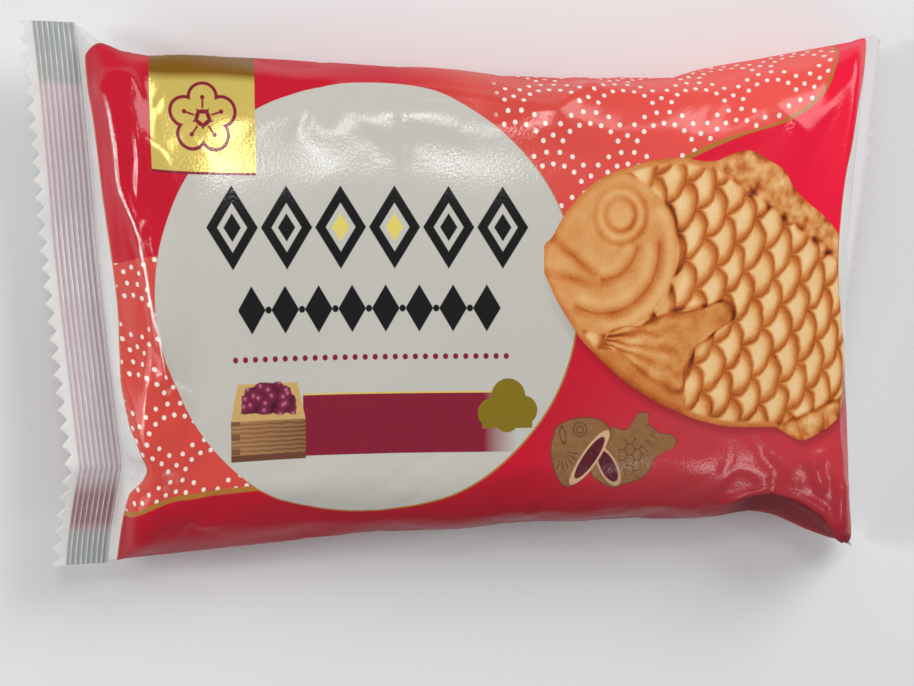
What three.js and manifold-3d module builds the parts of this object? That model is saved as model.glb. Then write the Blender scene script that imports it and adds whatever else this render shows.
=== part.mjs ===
// A shut flow-wrapped snack pack lying on its back: one tube of printed film, filled out by what
// it holds, with a crimped and zigzag-cut seal across each end. Millimetres, +X along the pack,
// +Y across it, +Z up through the printed front.

import * as THREE from 'three';
import { mergeVertices } from 'three/addons/utils/BufferGeometryUtils.js';
import Module from 'manifold-3d';

// The flattened tube and the filled body.
const FILM_WIDTH = 105;
const WAIST_WIDTH = 90;
const BODY_HEIGHT = 29.7;
const WAIST_X = 28;
const LEFT_ROOT_X = -73.7;
const RIGHT_ROOT_X = 81.1;
const SEAL_HEIGHT = 13;

// How the body fills out from a seal: the flare of its sides and the rise of its front and back.
const SLOW_FLARE = 0.45;
const EAR_SHARPNESS = 12;
const LEFT_RISE = 15;
const RIGHT_RISE = 9;
const RISE_POWER = 0.75;
const SECTION_POWER = { seal: 2.1, body: 3.1 };
const BACK_OVERSHOOT = 1.0;

// Crimped seals.
const SEAL_LENGTH = 10.9;
const SEAL_OVERLAP = 2.5;
const MARGIN_LENGTH = 2.8;
const TOOTH_PITCH = 3.4;
const TOOTH_DEPTH = 1.6;
const RIB_COUNT = 8;
const RIB_DEPTH = 0.35;
const CRIMP_THICKNESS = 1.0;
const BODY_END_HALF = 0.9;
const MARGIN_THICKNESS = 0.5;

// The left seal leans, bows a little and has one fold across it. The right seal bows and hangs
// down, least at one place along it.
const LEFT_LEAN = 0.05;
const LEFT_BOW = 1.4;
const LEFT_RAISE = THREE.MathUtils.degToRad(14);
const FOLD_Y = -33;
const FOLD_PUSH = 3.2;
const FOLD_RISE = 4.5;
const FOLD_SPREAD = { above: 46, below: 20 };
const RIGHT_BOW = 6.5;
const RIGHT_BOW_Y = -6;
const RIGHT_DROOP = THREE.MathUtils.degToRad(57);
const DROOP_SWING = THREE.MathUtils.degToRad(17);
const DROOP_LEAST_Y = 20;
const DROOP_REACH = 60;

// Dents and puckers of the film.
const PINCH = { depth: 4.5, alongX: 13, acrossY: 7 };
const PUCKER = { depth: 0.55, waves: 4, reach: 20 };

// The fin seal along the back lies flat, and its free edge shows as a narrow step.
const FIN_WIDTH = 11;
const FIN_STEP = { width: 0.7, depth: 0.45 };

// Facets.
const BODY_RINGS = 40;
const BODY_SIDES = 40;
const CRIMP_STEPS = 10;
const RING_CROWDING = 0.8;

const FILM_HALF = FILM_WIDTH / 2;
const WAIST_HALF = WAIST_WIDTH / 2;

const wasm = await Module();
wasm.setup();

// A power that keeps the sign of its base.
const signedPower = (base, power) => Math.sign(base) * Math.abs(base) ** power;

// One hump, from 0 at distance 1 to 1 at distance 0, with a sharp crest.
const crest = (distance) => Math.max(0, 1 - Math.abs(distance)) ** 1.5;

// One soft hump.
const swell = (distance) => Math.exp(-(distance ** 2));

// The fold in the left seal: 1 on its crest line and 0 away from it.
function foldShare(y) {
  const spread = y > FOLD_Y ? FOLD_SPREAD.above : FOLD_SPREAD.below;
  return crest((y - FOLD_Y) / spread);
}

// How far the seal's root is moved along X from its straight line.
function rootShift(end, y) {
  if (end < 0) {
    return LEFT_BOW * (1 - (y / FILM_HALF) ** 2) - LEFT_LEAN * y + FOLD_PUSH * foldShare(y);
  }
  return -RIGHT_BOW * (1 - ((y - RIGHT_BOW_Y) / FILM_HALF) ** 2);
}

// The height of the seal's root.
function rootHeight(end, y) {
  return SEAL_HEIGHT + (end < 0 ? FOLD_RISE * foldShare(y) : 0);
}

// Half the width of the body: flat film at the seals, narrowest at the waist.
function halfWidth(x) {
  const root = x < WAIST_X ? LEFT_ROOT_X : RIGHT_ROOT_X;
  const away = Math.min(1, (x - WAIST_X) / (root - WAIST_X));
  const flare = SLOW_FLARE * away ** 2 + (1 - SLOW_FLARE) * away ** EAR_SHARPNESS;
  return WAIST_HALF + (FILM_HALF - WAIST_HALF) * flare;
}

// How far the body has filled out at x, from 0 at a seal to 1.
function fullness(x) {
  const fromSeal = Math.min((x - LEFT_ROOT_X) / LEFT_RISE, (RIGHT_ROOT_X - x) / RIGHT_RISE);
  return Math.sin((Math.PI / 2) * THREE.MathUtils.clamp(fromSeal, 0, 1)) ** RISE_POWER;
}

// A point of the body's skin: x along the pack, turn round the section, reach 0 on its axis.
function bodyPoint(x, turn, reach) {
  const full = fullness(x);
  const power = 2 / THREE.MathUtils.lerp(SECTION_POWER.seal, SECTION_POWER.body, full);
  const y = reach * halfWidth(x) * signedPower(Math.cos(turn), power);
  const lift = reach * signedPower(Math.sin(turn), power);
  const end = x < WAIST_X ? -1 : 1;
  const fromRoot = end < 0 ? x - LEFT_ROOT_X : RIGHT_ROOT_X - x;
  const nearSeal = Math.exp(-fromRoot / (end < 0 ? LEFT_RISE : RIGHT_RISE));
  const middle = THREE.MathUtils.lerp(rootHeight(end, y), SEAL_HEIGHT, full);
  const thin = BODY_END_HALF;
  const above = thin + full * (BODY_HEIGHT - SEAL_HEIGHT - thin);
  const below = thin + full * (SEAL_HEIGHT - thin + BACK_OVERSHOOT);
  let z = middle + lift * (lift > 0 ? above : below);
  if (lift > 0) {
    const pinch = swell((y - FOLD_Y) / PINCH.acrossY) * swell(fromRoot / PINCH.alongX);
    z -= end < 0 ? PINCH.depth * pinch * full * lift : 0;
    const wave = Math.cos((2 * Math.PI * PUCKER.waves * y) / FILM_WIDTH);
    z += PUCKER.depth * wave * Math.exp(-fromRoot / PUCKER.reach) * full * lift;
  }
  return [x + rootShift(end, y) * nearSeal, y, Math.max(0, z)];
}

// A point of a seal: run outward from its root, y along it, lift out of its mid-plane.
function sealPoint(end, run, y, lift) {
  const swing = DROOP_SWING * Math.cos((Math.PI * (y - DROOP_LEAST_Y)) / DROOP_REACH);
  const slope = end < 0 ? LEFT_RAISE : swing - RIGHT_DROOP;
  const root = (end < 0 ? LEFT_ROOT_X : RIGHT_ROOT_X) + rootShift(end, y);
  const x = root + end * (run * Math.cos(slope) - lift * Math.sin(slope));
  const z = rootHeight(end, y) + run * Math.sin(slope) + lift * Math.cos(slope);
  return [x, y, z];
}

// Moves every corner of a three.js shape through a function and returns it as a closed solid.
function solidFrom(shape, place) {
  shape.deleteAttribute('normal');
  shape.deleteAttribute('uv');
  const merged = mergeVertices(shape, 1e-4);
  const corners = merged.getAttribute('position');
  for (let i = 0; i < corners.count; i += 1) {
    corners.setXYZ(i, ...place(corners.getX(i), corners.getY(i), corners.getZ(i)));
  }
  const vertProperties = new Float32Array(corners.array);
  const triVerts = new Uint32Array(merged.index.array);
  return new wasm.Manifold(new wasm.Mesh({ numProp: 3, vertProperties, triVerts }));
}

// The filled tube, as a drum of rings laid along X.
function makeBody() {
  const length = RIGHT_ROOT_X - LEFT_ROOT_X;
  const drum = new THREE.CylinderGeometry(1, 1, 1, BODY_SIDES, BODY_RINGS);
  // The rings are closer together near the seals, where the film turns most.
  const spread = (share) => share - (RING_CROWDING * Math.sin(2 * Math.PI * share)) / (2 * Math.PI);
  return solidFrom(drum, (across, along, up) => {
    const x = LEFT_ROOT_X + length * spread(along + 0.5);
    return bodyPoint(x, Math.atan2(across, up), Math.hypot(across, up));
  });
}

// The ribbed strip of one seal.
function makeCrimp(end) {
  const ribbed = SEAL_LENGTH - MARGIN_LENGTH;
  const strip = new THREE.BoxGeometry(1, FILM_WIDTH, 1, 2 * RIB_COUNT, CRIMP_STEPS, 1);
  return solidFrom(strip, (share, y, face) => {
    const step = Math.round((end * share + 0.5) * 2 * RIB_COUNT);
    const run = step === 0 ? -SEAL_OVERLAP : (step / (2 * RIB_COUNT)) * ribbed;
    const rib = step % 2 === 1 ? RIB_DEPTH / 2 : -RIB_DEPTH / 2;
    const half = step === 0 ? MARGIN_THICKNESS / 2 : CRIMP_THICKNESS / 2;
    return sealPoint(end, run, y, Math.sign(face) * half + rib);
  });
}

// The plain margin outside the ribs, with its zigzag edge.
function makeMargin(end) {
  const teeth = Math.round(FILM_WIDTH / TOOTH_PITCH);
  const strip = new THREE.BoxGeometry(1, 1, 1, 1, 2 * teeth, 1);
  return solidFrom(strip, (share, along, face) => {
    const tip = Math.round((along + 0.5) * 2 * teeth) % 2;
    const outside = share * end > 0;
    const run = SEAL_LENGTH - (outside ? TOOTH_DEPTH * (1 - tip) : MARGIN_LENGTH + 1);
    return sealPoint(end, run, along * FILM_WIDTH, Math.sign(face) * (MARGIN_THICKNESS / 2));
  });
}

// The narrow step in the back along the fin's free edge.
function makeFinStep() {
  const length = RIGHT_ROOT_X - LEFT_ROOT_X - LEFT_RISE - RIGHT_RISE;
  const bar = new THREE.BoxGeometry(length, FIN_STEP.width, 2 * FIN_STEP.depth);
  const x = (LEFT_ROOT_X + LEFT_RISE + RIGHT_ROOT_X - RIGHT_RISE) / 2;
  return solidFrom(bar, (px, py, pz) => [px + x, py - FIN_WIDTH, pz]);
}

// Turns a solid back into three.js triangles.
function geometryFrom(solid) {
  const mesh = solid.getMesh();
  const geometry = new THREE.BufferGeometry();
  geometry.setAttribute('position', new THREE.BufferAttribute(mesh.vertProperties, 3));
  geometry.setIndex(new THREE.BufferAttribute(mesh.triVerts, 1));
  return geometry;
}

let solid = makeBody();
for (const end of [-1, 1]) {
  solid = solid.add(makeCrimp(end)).add(makeMargin(end));
}
solid = solid.subtract(makeFinStep());

// The origin is under the middle of the pack, on the surface that it lies on.
const geometry = geometryFrom(solid);
geometry.computeBoundingBox();
const { min, max } = geometry.boundingBox;
geometry.translate(-(min.x + max.x) / 2, -(min.y + max.y) / 2, -min.z);
geometry.computeVertexNormals();

const film = new THREE.MeshStandardMaterial({ color: 0xc4152f, roughness: 0.3, metalness: 0 });
const pack = new THREE.Mesh(geometry, film);
pack.name = 'pack';

const group = new THREE.Group();
group.add(pack);

export default group;
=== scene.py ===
"""A shut flow-wrapped snack pack lying on its back.

One tube of printed film is simulated as cloth round what it holds, and each end runs out into a
ribbed seal with a zigzag-cut edge. Sizes are in millimetres until a mesh is made, with x along the
pack, y across it and z up through its printed front."""

import math

import bmesh
import bpy
import numpy as np
from mathutils import Matrix, Vector


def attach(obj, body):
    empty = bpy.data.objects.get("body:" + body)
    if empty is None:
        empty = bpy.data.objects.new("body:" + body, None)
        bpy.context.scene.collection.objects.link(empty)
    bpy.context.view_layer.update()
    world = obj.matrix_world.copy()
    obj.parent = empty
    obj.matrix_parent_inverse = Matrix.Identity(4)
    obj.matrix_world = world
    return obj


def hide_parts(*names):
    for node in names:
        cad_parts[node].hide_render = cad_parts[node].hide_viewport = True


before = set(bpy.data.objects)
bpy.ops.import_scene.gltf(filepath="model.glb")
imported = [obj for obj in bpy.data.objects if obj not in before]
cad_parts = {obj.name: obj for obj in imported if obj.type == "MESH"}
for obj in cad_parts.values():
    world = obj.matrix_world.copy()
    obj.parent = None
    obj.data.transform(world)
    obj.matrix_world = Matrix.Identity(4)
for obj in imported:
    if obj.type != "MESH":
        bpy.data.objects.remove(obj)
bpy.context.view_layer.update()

MM = 0.001
LEFT, RIGHT = -1, 1

# The tube of film, how wide its seals stand, and where they start.
FLAT_WIDTH = 105.6
SEAL_WIDTH = 105.0
HALF_WIDTH = SEAL_WIDTH / 2
ROUND = 2 * FLAT_WIDTH
BODY_RUN = 165.7
SEAL_RUN = 10.9
FILM_RUN = BODY_RUN + 2 * SEAL_RUN
ROOT_X = {LEFT: -74.28, RIGHT: 80.5}
SEAL_Z = 13.0

# The left seal leans, bows a little and has one fold across it. The right seal bows and hangs down,
# least at one place along it.
LEFT_LEAN = 0.05
LEFT_BOW = 1.4
LEFT_RAISE = math.radians(14)
FOLD_Y = -33.0
FOLD_PUSH = 3.2
FOLD_RISE = 4.5
FOLD_ABOVE, FOLD_BELOW = 46.0, 20.0
RIGHT_BOW = 6.5
RIGHT_BOW_Y = -6.0
DROOP, DROOP_SWING = math.radians(57), math.radians(17)
DROOP_LEAST_Y, DROOP_REACH = 20.0, 60.0

# Ribs and teeth of the seals.
RIBS = 8
RIB_RUN = 8.1
RIB_DEPTH = 0.26
ROWS_PER_RIB = 6
LAYER = 0.16
TEETH = 31
TOOTH_DEPTH = 1.6
COLUMNS_PER_TOOTH = 4
MARGIN_ROWS = (0.3, 0.62, 0.94, 1)

# The filling that the film is drawn over: half its width and height, how its waist and its ends
# differ, and how far its left face slants in its upper and lower half.
FILLING_HALF = (45.4, 10.9)
WAIST_X, WAIST_REACH, WAIST_NARROWER, WAIST_HIGHER = 27.4, 36, 2.3, 1.8
ENDS_FROM, ENDS_TO, ENDS_NARROWER, ENDS_HIGHER = 20, 65, 1.6, 1.2
FILLING_X = {LEFT: -63, RIGHT: 72.6}
FILLING_LENGTH_HALF = 68
FILLING_ROUND = 8
FILLING_Y = -1.3
FILLING_SLANTS = -10, -5
FILLING_FLOOR_GAP = 0.6
FILLING_CUTS, RIM_CLOSENESS = 31, 1.5

# The film's finishes. The front's two halves meet further left along its upper side.
FRONT_LEFT, FRONT_RIGHT, BACK, SEAL = range(4)
SPLIT_X, BACK_FROM = 9.1, 62.0
TOP_SPLIT_X, TOP_FROM = -22.7, 22.0

AROUND = 2 * TEETH * COLUMNS_PER_TOOTH
SAME_PLACE = 1e-6
SHARP_FROM = math.radians(100)
# The body's rows, closer together near the left seal.
BODY_RUNS = np.concatenate([np.arange(0, 22, 0.5), np.linspace(22, BODY_RUN, 152)])


# The flat film and its start round the filling.

# From each root the tube fills out over one distance and follows the root's curve over another. Its
# corners are squarer where it is full, its width flares out to the seals, and it starts a gap away
# from the filling.
FILL_OUT, FILL_POWER = {LEFT: 10, RIGHT: 6}, 0.75
FOLLOW_ROOT = {LEFT: 15, RIGHT: 9}
ROUND_CORNER, SQUARER_CORNER = 2.1, 2.9
FLARE_RUN, FLARE_POWER = 154, 12
FILM_GAP, THINNEST = 1.2, 0.2
RING_POINTS = 2881

# The lumps of slack: how wide and high they are, and the flat strip that they are pushed out from.
LUMP_SIZES, LUMP_HEIGHT, LUMP_COUNT, LUMP_SEED = (22, 60), 0.3, 40, 5
STRIP_HALF, STRIP_Z = 35, 13.5
LUMP_END_RUN = 8


def off_ends(run, reach):
    """0 at the body's two ends, rising to 1 over a reach."""
    return np.clip(np.minimum(run, BODY_RUN - run) / reach, 0, 1)


def places_round(count):
    """Evenly spaced places round the tube, with 0 in the middle of the front."""
    return ROUND * (np.arange(count) / count - 0.5)


def crest(distance):
    """One hump with a sharp crest: 1 at distance 0 and nothing from distance 1."""
    return np.maximum(0, 1 - np.abs(distance)) ** 1.5


def fold_share(y):
    """The fold across the left seal: 1 on its crest line and 0 away from it."""
    spread = np.where(y > FOLD_Y, FOLD_ABOVE, FOLD_BELOW)
    return crest((y - FOLD_Y) / spread)


def root(end, y):
    """The line where a seal meets the body: its x and its z at each y."""
    if end == LEFT:
        fold = fold_share(y)
        bow = LEFT_BOW * (1 - (y / HALF_WIDTH) ** 2)
        x = ROOT_X[LEFT] - LEFT_LEAN * y + bow + FOLD_PUSH * fold
        return x, SEAL_Z + FOLD_RISE * fold
    bow = RIGHT_BOW * (1 - ((y - RIGHT_BOW_Y) / HALF_WIDTH) ** 2)
    return ROOT_X[RIGHT] - bow, np.full_like(y, SEAL_Z)


def seal_points(end, run, y, lift):
    """Points of a seal: run outward from its root, y along it, lift out of its middle."""
    x, z = root(end, y)
    if end == LEFT:
        slope = np.full_like(y, LEFT_RAISE)
    else:
        slope = DROOP_SWING * np.cos(math.pi * (y - DROOP_LEAST_Y) / DROOP_REACH) - DROOP
    x = x + end * (run * np.cos(slope) - lift * np.sin(slope))
    return np.stack([x, y, z + run * np.sin(slope) + lift * np.cos(slope)], axis=-1)


def laid_flat(turn):
    """Where a place round the tube lies once it is flat: its y, and 1 in front or -1 behind."""
    front = np.abs(turn) <= FLAT_WIDTH / 2
    y = np.where(front, turn, np.sign(turn) * FLAT_WIDTH - turn)
    return y * SEAL_WIDTH / FLAT_WIDTH, np.where(front, 1.0, -1.0)


def closed_end(turn):
    """How open the flattened tube is at each place round it: nothing at its two folded sides."""
    y, side = laid_flat(turn)
    return side * (1 - np.abs(y / HALF_WIDTH) ** 6)


def signed_power(base, power):
    return np.sign(base) * np.abs(base) ** power


def filling_half(x):
    """Half the filling's width and half its height at x."""
    waist = math.exp(-(((x - WAIST_X) / WAIST_REACH) ** 2))
    end = filling_end(x) ** 2
    width, height = FILLING_HALF
    width -= WAIST_NARROWER * waist + ENDS_NARROWER * end
    return width, height + WAIST_HIGHER * waist + ENDS_HIGHER * end


def filling_end(x):
    """How far x is into one of the filling's ends: about -1 at the left and 1 at the right."""
    return math.copysign(max(0, abs(x) - ENDS_FROM) / (ENDS_TO - ENDS_FROM), x)


def filling_y(x):
    """The filling's middle at x. Its upper left corner and its lower right one are cut back."""
    end = filling_end(x)
    return FILLING_Y + ENDS_NARROWER * end * abs(end)


def start_section(run, turn):
    """One ring of evenly spaced places round the body before it settles, at a run of the film."""
    x = ROOT_X[LEFT] + (ROOT_X[RIGHT] - ROOT_X[LEFT]) * run / BODY_RUN
    from_end = {LEFT: x - ROOT_X[LEFT], RIGHT: ROOT_X[RIGHT] - x}
    full = min(1, *(from_end[end] / FILL_OUT[end] for end in FILL_OUT))
    full = math.sin(math.pi / 2 * full) ** FILL_POWER
    flare = max(0, 1 - min(from_end.values()) / FLARE_RUN) ** FLARE_POWER
    wide, high = (half + FILM_GAP for half in filling_half(x))
    wide += (HALF_WIDTH - wide) * flare
    power = 2 / (ROUND_CORNER + SQUARER_CORNER * full)
    angle = np.linspace(-math.pi, math.pi, RING_POINTS)
    across = filling_y(x) * (1 - flare) + wide * signed_power(np.sin(angle), power)
    above = (THINNEST + high * full) * signed_power(np.cos(angle), power)
    along = np.concatenate([[0], np.cumsum(np.hypot(np.diff(across), np.diff(above)))])
    share = turn / ROUND + 0.5
    y = np.interp(share, along / along[-1], across)
    z = SEAL_Z + (high - SEAL_Z) * full + np.interp(share, along / along[-1], above)
    near = {end: math.exp(-from_end[end] / FOLLOW_ROOT[end]) for end in FOLLOW_ROOT}
    left_x, left_z = root(LEFT, y)
    right_x, _ = root(RIGHT, y)
    x = x + (left_x - ROOT_X[LEFT]) * near[LEFT] + (right_x - ROOT_X[RIGHT]) * near[RIGHT]
    return np.stack([x, y, z + (left_z - SEAL_Z) * near[LEFT]], axis=-1)


def lumps(run, turn):
    """Smooth random swells over the film that join up round the tube, of spread 1."""
    chance = np.random.default_rng(LUMP_SEED)
    height = np.zeros(np.broadcast(run, turn).shape)
    for _ in range(LUMP_COUNT):
        wave = chance.uniform(*LUMP_SIZES)
        heading, phase = chance.uniform(0, math.pi), chance.uniform(0, 2 * math.pi)
        turns = round(math.sin(heading) * ROUND / wave)
        beats = math.cos(heading) * run / wave + turns * turn / ROUND
        height += np.sin(2 * math.pi * beats + phase)
    return height / height.std()


def start_shape(runs, turns):
    """The body's points in rows before it settles, with slack pushed out in soft lumps."""
    points = np.stack([start_section(run, turns) for run in runs])
    axis = points.copy()
    axis[..., 1] = np.clip(axis[..., 1], -STRIP_HALF, STRIP_HALF)
    axis[..., 2] = STRIP_Z
    outward = points - axis
    outward /= np.maximum(1e-6, np.linalg.norm(outward, axis=-1, keepdims=True))
    height = lumps(runs[:, None], turns[None, :])
    height = LUMP_HEIGHT * height * off_ends(runs, LUMP_END_RUN)[:, None]
    return points + outward * height[..., None]


# The film settles round the filling as cloth. Cloth is steadier at this larger scale.

SIM_SCALE = 0.02
SIM_ROWS, SIM_AROUND, SIM_FRAMES = 120, 150, 30
# How near the film and the solids come, and the film's cloth: it hardly stretches or bends.
TOUCH = 0.004
FABRIC = dict(
    quality=8,
    mass=0.05,
    air_damping=2,
    **dict.fromkeys(("tension_stiffness", "compression_stiffness"), 400),
    shear_stiffness=200,
    bending_stiffness=0.02,
    **dict.fromkeys(("tension_damping", "compression_damping"), 20),
    shear_damping=10,
    bending_damping=0.5,
    vertex_group_mass="held",
    pin_stiffness=5,
    use_pressure=True,
    uniform_pressure_force=0.25,
)


def film_grid(rows, around):
    """A grid that is one film: its rows run along the pack and its columns go round the tube."""
    mesh = bmesh.new()
    bmesh.ops.create_grid(mesh, x_segments=rows, y_segments=around, size=0.5)
    shares = np.array([vert.co[:2] for vert in mesh.verts]) + 0.5
    row = np.rint(shares[:, 0] * rows).astype(int)
    column = np.rint(shares[:, 1] * around).astype(int)
    return mesh, row, column


def join_up(mesh):
    """Makes the grid one tube. Its first and last columns lie in the same places."""
    bmesh.ops.remove_doubles(mesh, verts=mesh.verts[:], dist=SAME_PLACE)


def add_object(name, mesh):
    """An object made from a finished bmesh."""
    data = bpy.data.meshes.new(name)
    mesh.to_mesh(data)
    mesh.free()
    made = bpy.data.objects.new(name, data)
    bpy.context.scene.collection.objects.link(made)
    return made


def make_filling():
    """A rounded block in simulation scale, with a slanting left face and a shallow waist."""
    mesh = bmesh.new()
    bmesh.ops.create_cube(mesh, size=2)
    bmesh.ops.subdivide_edges(mesh, edges=mesh.edges[:], cuts=FILLING_CUTS, use_grid_fill=True)
    half = np.array([FILLING_LENGTH_HALF, *FILLING_HALF])
    for vert in mesh.verts:
        place = np.array(vert.co)
        # The grid is closer together near the rims.
        place = np.sign(place) * (1 - (1 - np.abs(place)) ** RIM_CLOSENESS)
        outer = place * half
        inner = np.clip(outer, FILLING_ROUND - half, half - FILLING_ROUND)
        away = outer - inner
        x, y, z = inner + away / max(1e-9, np.linalg.norm(away)) * FILLING_ROUND
        slant = FILLING_SLANTS[0 if y > 0 else 1] * y / half[1]
        share = (1 - x / half[0]) / 2
        x = FILLING_X[RIGHT] * (1 - share) + (FILLING_X[LEFT] + slant) * share
        wide, high = filling_half(x)
        y = filling_y(x) + y * wide / half[1]
        z = FILLING_FLOOR_GAP + high + z * high / half[2]
        vert.co = Vector((x, y, z)) * SIM_SCALE
    return add_object("filling", mesh)


def settle(start):
    """The film's points in rows after it has settled over the filling and on the floor."""
    rows, around = start.shape[0] - 1, start.shape[1]
    mesh, row, column = film_grid(rows, around)
    place = mesh.verts.layers.int.new("place")
    cut = mesh.verts.layers.float_vector.new("cut")
    tube = ROUND / (2 * math.pi)
    for vert, i, j in zip(mesh.verts, row, column % around):
        angle = 2 * math.pi * j / around
        vert[place] = int(i * around + j)
        flat_x = BODY_RUN * (i / rows - 0.5)
        vert[cut] = Vector((flat_x, -tube * math.sin(angle), -tube * math.cos(angle))) * SIM_SCALE
        vert.co = Vector(start[i, j]) * SIM_SCALE
    join_up(mesh)
    film = add_object("film_cloth", mesh)
    places = np.array([item.value for item in film.data.attributes["place"].data])
    cuts = [axis for item in film.data.attributes["cut"].data for axis in item.vector]
    film.shape_key_add(name="start")
    film.shape_key_add(name="cut").data.foreach_set("co", cuts)
    film.data.shape_keys.key_blocks["cut"].value = 0
    held = np.flatnonzero((places < around) | (places >= rows * around))
    film.vertex_groups.new(name="held").add(held.tolist(), 1.0, "REPLACE")

    bpy.ops.mesh.primitive_plane_add(size=10)
    ground = bpy.context.object
    filling = make_filling()
    for solid in (filling, ground):
        solid.modifiers.new("collision", "COLLISION")
        solid.collision.thickness_outer = TOUCH
        solid.collision.cloth_friction = 0.3
        solid.collision.damping = 0.5

    cloth = film.modifiers.new("cloth", "CLOTH")
    for name, value in FABRIC.items():
        setattr(cloth.settings, name, value)
    cloth.settings.rest_shape_key = film.data.shape_keys.key_blocks["cut"]
    cloth.settings.effector_weights.gravity = 0
    cloth.collision_settings.distance_min = TOUCH
    cloth.collision_settings.collision_quality = 3
    cloth.point_cache.frame_end = SIM_FRAMES + 5
    for frame_number in range(1, SIM_FRAMES + 1):
        bpy.context.scene.frame_set(frame_number)
    settled = film.evaluated_get(bpy.context.evaluated_depsgraph_get()).data
    ordered = np.empty((rows * around + around, 3))
    ordered[places] = np.array([vert.co for vert in settled.vertices]) / SIM_SCALE
    for done in (film, filling, ground):
        bpy.data.objects.remove(done)
    bpy.context.scene.frame_set(1)
    return ordered.reshape(rows + 1, around, 3)


# The finished film.

# How much of its wrinkles the front loses, and where: from one run on and for how long, how far
# round from a middle line, and over how much film it starts.
CALM, CALM_PASSES = 0.85, 80
CALM_FROM, CALM_RUN = 15, BODY_RUN - 32
CALM_MIDDLE, CALM_HALF, CALM_FADE = 1, 36, 12


def between(values, at, closed):
    """Rows read between their places by a smooth curve through them."""
    count = len(values)
    low = np.floor(at).astype(int)
    t = (at - low).reshape((-1,) + (1,) * (values.ndim - 1))

    def take(index):
        return values[index % count] if closed else values[np.clip(index, 0, count - 1)]

    a, b, c, d = take(low - 1), take(low), take(low + 1), take(low + 2)
    return b + 0.5 * t * (c - a + t * (2 * a - 5 * b + 4 * c - d + t * (3 * (b - c) + d - a)))


def calmed(points):
    """The settled film with its wrinkles faded out where it lies flat over the filling."""
    rows, around = points.shape[:2]
    run = (np.linspace(0, BODY_RUN, rows) - CALM_FROM)[:, None]
    turn = places_round(around)[None, :]
    from_edge = np.minimum(np.minimum(run, CALM_RUN - run), CALM_HALF - np.abs(turn - CALM_MIDDLE))
    share = np.clip(from_edge / CALM_FADE, 0, 1)
    share = CALM * share * share * (3 - 2 * share)
    smooth = points
    for _ in range(CALM_PASSES):
        ahead = np.concatenate([smooth[1:], smooth[-1:]])
        behind = np.concatenate([smooth[:1], smooth[:-1]])
        smooth = (2 * smooth + ahead + behind) / 4
        smooth = (2 * smooth + np.roll(smooth, 1, axis=1) + np.roll(smooth, -1, axis=1)) / 4
        smooth[0], smooth[-1] = points[0], points[-1]
    return points + (smooth - points) * share[..., None]


def seal_rows(end):
    """The rows of one seal from its root outward, without the root, and their runs."""
    turns = places_round(AROUND)
    y, _ = laid_flat(turns)
    notch = np.abs(2 * ((y + HALF_WIDTH) / SEAL_WIDTH * TEETH % 1) - 1)
    cut = SEAL_RUN - TOOTH_DEPTH * (1 - notch)
    layer = closed_end(turns) * LAYER
    steps = RIBS * ROWS_PER_RIB
    rows, runs = [], []
    for step in range(1, steps + 1):
        runs.append(RIB_RUN * step / steps)
        rib = RIB_DEPTH / 2 * math.sin(2 * math.pi * step / ROWS_PER_RIB)
        rows.append(seal_points(end, runs[-1], y, layer + rib))
    for share in MARGIN_ROWS:
        lift = layer * (1 if share < 1 else 0)
        rows.append(seal_points(end, RIB_RUN + (cut - RIB_RUN) * share, y, lift))
        runs.append(RIB_RUN + (SEAL_RUN - RIB_RUN) * share)
    return rows, np.array(runs)


# Details of the film's body, in millimetres of flat film: x from its middle, y round the tube from
# the middle of the front.

# Each ridge: its height, its half width, and the path that it follows. Broad ones have a sharp
# crest and the others are rounded. They end softly and fade out at the roots.
BROAD = 4
PATH_END, ROOT_FADE = 5, 4
LEFT_CREASE = (
    (-79.5, 44), (-77, 36.7), (-76, 27.7), (-75.7, 19.8), (-74.4, 16.3), (-72.8, 12.9),
    (-71.5, 6.9), (-70.6, 0.9), (-69.1, -9.3), (-69.3, -18),
)
TOP_CREASE = ((-36, 40), (-19.4, 39.2), (-2.8, 38.6), (12.7, 36.3), (24, 46))
LOW_CREASE = ((46, -41.5), (57.4, -38.7), (71.5, -41), (75.6, -43), (81.5, -49.5))
RIDGES = (
    (1.3, 8, LEFT_CREASE),
    (0.5, 1.9, LEFT_CREASE),
    (0.6, 6, TOP_CREASE),
    (0.3, 2, TOP_CREASE),
    (1.2, 7, LOW_CREASE),
    (0.4, 1.9, LOW_CREASE),
    (0.9, 4.5, ((-84, 45), (-79.2, 46.6), (-74, 47.4), (-69, 49.4))),
    (0.6, 1.6, ((-78, 42.4), (-73, 40), (-70.5, 35.5))),
    (0.35, 1.1, ((-72.2, 34), (-71.8, 25), (-72.6, 17))),
    (0.3, 1, ((-77.4, 41), (-73.4, 41.4), (-70, 39.8))),
    (0.3, 0.9, ((-66.4, 39), (-68.6, 35.2), (-70.4, 33.6))),
    (0.5, 1.7, ((-71, -12), (-65.2, -15.5), (-61, -19))),
    (0.7, 4.5, ((-80, -10), (-75.9, -21.6), (-71.4, -28.6), (-70, -38))),
    (-0.9, 2.6, ((-86, -37.2), (-80, -31.9), (-71, -26.6))),
    (0.15, 1.8, ((-18.8, 38.3), (-18.9, 22.3))),
    (0.5, 2, ((-67, -32), (-60.5, -37.5))),
    (0.6, 2, ((64, -24), (73.6, -40.5))),
    (0.6, 2.2, ((66, -32), (72, -29.5), (80, -38.4))),
    (0.4, 1.8, ((56, 38.6), (67, 28.1))),
)
# Each push: where, how far it reaches to the left and right and across, and its x, y and z.
PUSHES = (
    ((-75, 52.8), (5, 8), 16, (0, -2.2, 0)),
    ((62, -52.8), (15, 10), 16, (0, 3.2, 0)),
    ((-80, -31.5), (5, 7), 3.6, (0, 0, -2.6)),
    ((12, 44.5), (9, 8), 4.5, (0, -0.6, -1.6)),
    ((38, 47), (9, 9), 4.5, (0, -0.5, -0.9)),
)
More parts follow.
